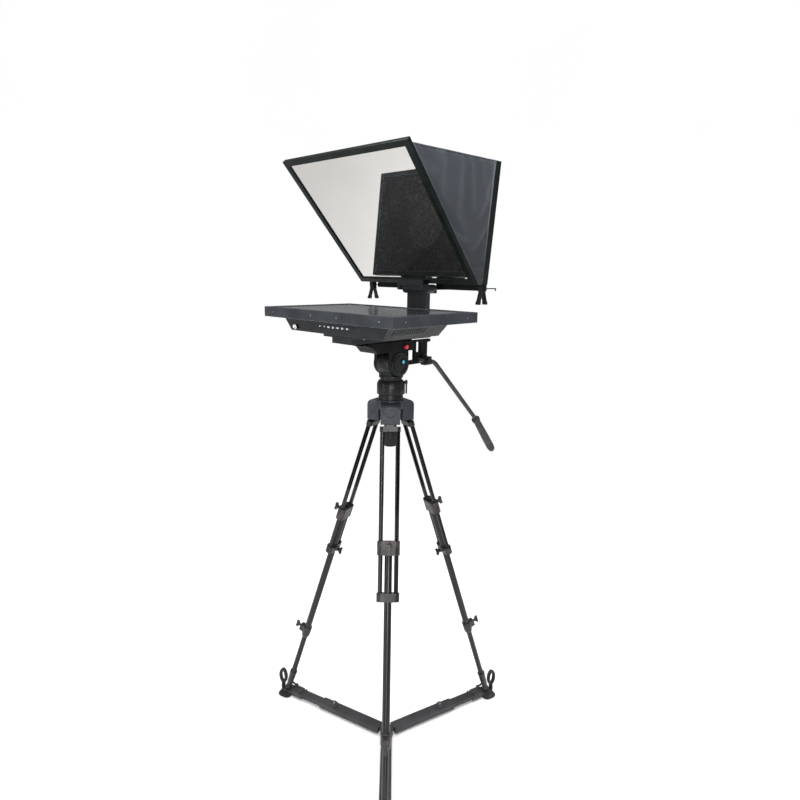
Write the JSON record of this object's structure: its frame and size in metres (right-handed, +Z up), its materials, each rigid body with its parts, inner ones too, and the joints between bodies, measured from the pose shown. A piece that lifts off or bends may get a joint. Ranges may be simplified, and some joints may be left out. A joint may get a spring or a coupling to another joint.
{
  "type": "teleprompter",
  "caption": "Studio teleprompter: face-up monitor under a leaning beam-splitter glass with a cloth hood, on a fluid head and telescopic tripod with a ground spreader.",
  "frame": {"origin": "floor, on the tripod's vertical axis, under the spreader's hub", "axes": "+Z up, -Y towards the person who reads, +Y towards the camera, +X towards the monitor's vented side"},
  "size_m": [0.7948, 0.8348, 1.8517],
  "materials": {
    "leg_metal": "satin black anodised tube and casting",
    "casting": "blue-grey textured casting",
    "spreader": "matt dark grey moulding",
    "rubber": "matt black rubber",
    "knob": "matt black moulded knob",
    "head_metal": "satin black casting",
    "bubble": "clear blue level",
    "red_button": "glossy red",
    "grip": "soft ribbed rubber",
    "base_metal": "anodised dark aluminium",
    "bezel": "blue-grey powder coat",
    "housing": "black powder coat",
    "screen": "anti-glare screen",
    "electronics": "green circuit board",
    "panel": "dark panel module",
    "steel": "steel",
    "frame_black": "satin black",
    "mirror_glass": "coated clear glass",
    "cloth": "coated woven cloth"
  },
  "bodies": {
    "crown": {"crown": "casting"},
    "leg_1_upper": {"leg_1_upper_stage": "leg_metal"},
    "leg_1_mid": {"leg_1_mid_stage": "leg_metal"},
    "leg_1_lower": {"leg_1_lower_stage": "leg_metal"},
    "leg_1_knob": {"leg_1_collar_knob": "knob"},
    "leg_1_foot": {"leg_1_foot_pad": "rubber", "leg_1_spreader_bar": "spreader"},
    "leg_1_channel": {"leg_1_spreader_channel": "spreader", "spreader_hub": "spreader"},
    "leg_2_upper": {"leg_2_upper_stage": "leg_metal"},
    "leg_2_mid": {"leg_2_mid_stage": "leg_metal"},
    "leg_2_lower": {"leg_2_lower_stage": "leg_metal"},
    "leg_2_knob": {"leg_2_collar_knob": "knob"},
    "leg_2_foot": {"leg_2_foot_pad": "rubber", "leg_2_spreader_bar": "spreader"},
    "leg_2_channel": {"leg_2_spreader_channel": "spreader"},
    "leg_3_upper": {"leg_3_upper_stage": "leg_metal"},
    "leg_3_mid": {"leg_3_mid_stage": "leg_metal"},
    "leg_3_lower": {"leg_3_lower_stage": "leg_metal"},
    "leg_3_knob": {"leg_3_collar_knob": "knob"},
    "leg_3_foot": {"leg_3_foot_pad": "rubber", "leg_3_spreader_bar": "spreader"},
    "leg_3_channel": {"leg_3_spreader_channel": "spreader"},
    "levelling_ball": {"half_ball": "head_metal", "pan_base": "head_metal"},
    "clamp_knob": {"bowl_clamp_knob": "knob"},
    "pan_lever": {"pan_lock_lever": "knob"},
    "head": {"head_housing": "head_metal"},
    "cradle": {"tilt_cradle": "head_metal", "side_caps": "head_metal", "bubble_level": "bubble"},
    "tilt_lever": {"tilt_lock_lever": "knob"},
    "release": {"release_button": "red_button"},
    "handle": {"bar_clamp": "head_metal", "pan_bar": "leg_metal", "pan_bar_grip": "grip"},
    "prompter": {"quick_release_plate": "base_metal", "base_rail": "base_metal", "vesa_plate": "base_metal", "monitor_bezel": "bezel", "monitor_rear_housing": "housing", "screen_glass": "screen", "lcd_module": "panel", "driver_board": "electronics", "machine_screws": "steel", "column": "base_metal", "column_bracket": "base_metal"},
    "camera_slide": {"camera_plate": "base_metal"},
    "mirror_unit": {"glass_frame": "frame_black", "beam_splitter_glass": "mirror_glass", "hood_cloth": "cloth", "hood_rear_frame": "frame_black", "hood_clips": "knob"},
    "button_1": {"menu_button_1": "knob"},
    "button_2": {"menu_button_2": "knob"},
    "button_3": {"menu_button_3": "knob"},
    "button_4": {"menu_button_4": "knob"},
    "button_5": {"menu_button_5": "knob"},
    "left_clip": {"clip_left_lever": "knob"},
    "right_clip": {"clip_right_lever": "knob"}
  },
  "joints": [
    {"name": "leg_1_swing", "type": "hinge", "parent": "crown", "child": "leg_1_upper", "pos_m": [0.03647, -0.03776, 1.12], "axis": [-0.7193, -0.6947, 0], "range_deg": [-4, 4]},
    {"name": "leg_1_mid_slide", "type": "slide", "parent": "leg_1_upper", "child": "leg_1_mid", "axis": [-0.2239, 0.2318, 0.9466], "range_m": [0, 0.26]},
    {"name": "leg_1_lower_slide", "type": "slide", "parent": "leg_1_mid", "child": "leg_1_lower", "axis": [-0.2239, 0.2318, 0.9466], "range_m": [0, 0.16]},
    {"name": "leg_1_knob_turn", "type": "hinge", "parent": "leg_1_upper", "child": "leg_1_knob", "pos_m": [0.13614, -0.14098, 0.63644], "axis": [-0.6576, 0.681, -0.3223], "continuous": true},
    {"name": "leg_1_foot_hinge", "type": "hinge", "parent": "leg_1_upper", "child": "leg_1_foot", "pos_m": [0.2951, -0.30558, 0.02634], "axis": [-0.7193, -0.6947, 0], "range_deg": [-4.2, 4.2]},
    {"name": "leg_1_spreader_slide", "type": "slide", "parent": "leg_1_foot", "child": "leg_1_channel", "axis": [0.6947, -0.7193, 0], "range_m": [-0.078, 0.078]},
    {"name": "leg_2_swing", "type": "hinge", "parent": "crown", "child": "leg_2_upper", "pos_m": [0.01447, 0.05047, 1.12], "axis": [0.9613, -0.2756, 0], "range_deg": [-4, 4]},
    {"name": "leg_2_mid_slide", "type": "slide", "parent": "leg_2_upper", "child": "leg_2_mid", "axis": [-0.0888, -0.3098, 0.9466], "range_m": [0, 0.235]},
    {"name": "leg_2_lower_slide", "type": "slide", "parent": "leg_2_mid", "child": "leg_2_lower", "axis": [-0.0888, -0.3098, 0.9466], "range_m": [0, 0.19]},
    {"name": "leg_2_knob_turn", "type": "hinge", "parent": "leg_2_upper", "child": "leg_2_knob", "pos_m": [0.05402, 0.1884, 0.63644], "axis": [-0.2609, -0.91, -0.3223], "continuous": true},
    {"name": "leg_2_foot_hinge", "type": "hinge", "parent": "leg_2_upper", "child": "leg_2_foot", "pos_m": [0.11709, 0.40836, 0.02634], "axis": [0.9613, -0.2756, 0], "range_deg": [-4.2, 4.2]},
    {"name": "leg_2_spreader_slide", "type": "slide", "parent": "leg_2_foot", "child": "leg_2_channel", "axis": [0.2756, 0.9613, 0], "range_m": [-0.078, 0.078]},
    {"name": "leg_3_swing", "type": "hinge", "parent": "crown", "child": "leg_3_upper", "pos_m": [-0.05094, -0.0127, 1.12], "axis": [-0.2419, 0.9703, 0], "range_deg": [-4, 4]},
    {"name": "leg_3_mid_slide", "type": "slide", "parent": "leg_3_upper", "child": "leg_3_mid", "axis": [0.3127, 0.078, 0.9466], "range_m": [0, 0.26]},
    {"name": "leg_3_lower_slide", "type": "slide", "parent": "leg_3_mid", "child": "leg_3_lower", "axis": [0.3127, 0.078, 0.9466], "range_m": [0, 0.165]},
    {"name": "leg_3_knob_turn", "type": "hinge", "parent": "leg_3_upper", "child": "leg_3_knob", "pos_m": [-0.19017, -0.04741, 0.63644], "axis": [0.9185, 0.229, -0.3223], "continuous": true},
    {"name": "leg_3_foot_hinge", "type": "hinge", "parent": "leg_3_upper", "child": "leg_3_foot", "pos_m": [-0.41219, -0.10277, 0.02634], "axis": [-0.2419, 0.9703, 0], "range_deg": [-4.2, 4.2]},
    {"name": "leg_3_spreader_slide", "type": "slide", "parent": "leg_3_foot", "child": "leg_3_channel", "axis": [-0.9703, -0.2419, 0], "range_m": [-0.078, 0.078]},
    {"name": "bowl_level", "type": "hinge", "parent": "crown", "child": "levelling_ball", "pos_m": [0, 0, 1.178], "axis": [1, 0, 0], "range_deg": [-8, 8]},
    {"name": "bowl_clamp_turn", "type": "hinge", "parent": "levelling_ball", "child": "clamp_knob", "pos_m": [0, 0, 1.067], "axis": [0, 0, 1], "continuous": true},
    {"name": "pan", "type": "hinge", "parent": "levelling_ball", "child": "head", "pos_m": [0, 0, 1.232], "axis": [0, 0, 1], "continuous": true},
    {"name": "pan_lock", "type": "hinge", "parent": "levelling_ball", "child": "pan_lever", "pos_m": [0.03237, 0.03126, 1.226], "axis": [0.7193, 0.6947, 0], "range_deg": [0, 70]},
    {"name": "tilt", "type": "hinge", "parent": "head", "child": "cradle", "pos_m": [0, 0, 1.283], "axis": [1, 0, 0], "range_deg": [-30, 45]},
    {"name": "tilt_lock", "type": "hinge", "parent": "cradle", "child": "tilt_lever", "pos_m": [-0.042, 0, 1.283], "axis": [1, 0, 0], "range_deg": [-25, 55]},
    {"name": "release_press", "type": "slide", "parent": "cradle", "child": "release", "axis": [-1, 0, 0], "range_m": [0, 0.003], "stiffness_N_per_m": 500, "springref_m": -0.001},
    {"name": "bar_angle", "type": "hinge", "parent": "cradle", "child": "handle", "pos_m": [0.037, 0.104, 1.293], "axis": [1, 0, 0], "range_deg": [-30, 30]},
    {"name": "plate_slide", "type": "slide", "parent": "cradle", "child": "prompter", "axis": [0, 1, 0], "range_m": [-0.03, 0.03]},
    {"name": "camera_plate_slide", "type": "slide", "parent": "prompter", "child": "camera_slide", "axis": [0, 1, 0], "range_m": [-0.04, 0.03]},
    {"name": "mirror_tilt", "type": "hinge", "parent": "prompter", "child": "mirror_unit", "pos_m": [0, 0.09, 1.526], "axis": [1, 0, 0], "range_deg": [-4, 4]},
    {"name": "button_1_press", "type": "slide", "parent": "prompter", "child": "button_1", "axis": [0, 1, 0], "range_m": [0, 0.0015], "stiffness_N_per_m": 300, "springref_m": -0.0005},
    {"name": "button_2_press", "type": "slide", "parent": "prompter", "child": "button_2", "axis": [0, 1, 0], "range_m": [0, 0.0015], "stiffness_N_per_m": 300, "springref_m": -0.0005},
    {"name": "button_3_press", "type": "slide", "parent": "prompter", "child": "button_3", "axis": [0, 1, 0], "range_m": [0, 0.0015], "stiffness_N_per_m": 300, "springref_m": -0.0005},
    {"name": "button_4_press", "type": "slide", "parent": "prompter", "child": "button_4", "axis": [0, 1, 0], "range_m": [0, 0.0015], "stiffness_N_per_m": 300, "springref_m": -0.0005},
    {"name": "button_5_press", "type": "slide", "parent": "prompter", "child": "button_5", "axis": [0, 1, 0], "range_m": [0, 0.0015], "stiffness_N_per_m": 300, "springref_m": -0.0005},
    {"name": "left_clip_squeeze", "type": "hinge", "parent": "mirror_unit", "child": "left_clip", "pos_m": [-0.22, 0.136, 1.495], "axis": [1, 0, 0], "range_deg": [0, 12], "stiffness_Nm_per_rad": 0.6, "springref_deg": -8.59},
    {"name": "right_clip_squeeze", "type": "hinge", "parent": "mirror_unit", "child": "right_clip", "pos_m": [0.22, 0.136, 1.495], "axis": [1, 0, 0], "range_deg": [0, 12], "stiffness_Nm_per_rad": 0.6, "springref_deg": -8.59}
  ],
  "couplings": [
    {"joint": "leg_1_foot_hinge", "follows": "leg_1_swing", "ratio": -1},
    {"joint": "leg_1_spreader_slide", "follows": "leg_1_swing", "m_per_rad": -1.0937},
    {"joint": "leg_2_swing", "follows": "leg_1_swing", "ratio": 1},
    {"joint": "leg_2_foot_hinge", "follows": "leg_1_swing", "ratio": -1},
    {"joint": "leg_2_spreader_slide", "follows": "leg_1_swing", "m_per_rad": -1.0937},
    {"joint": "leg_3_swing", "follows": "leg_1_swing", "ratio": 1},
    {"joint": "leg_3_foot_hinge", "follows": "leg_1_swing", "ratio": -1},
    {"joint": "leg_3_spreader_slide", "follows": "leg_1_swing", "m_per_rad": -1.0937}
  ]
}
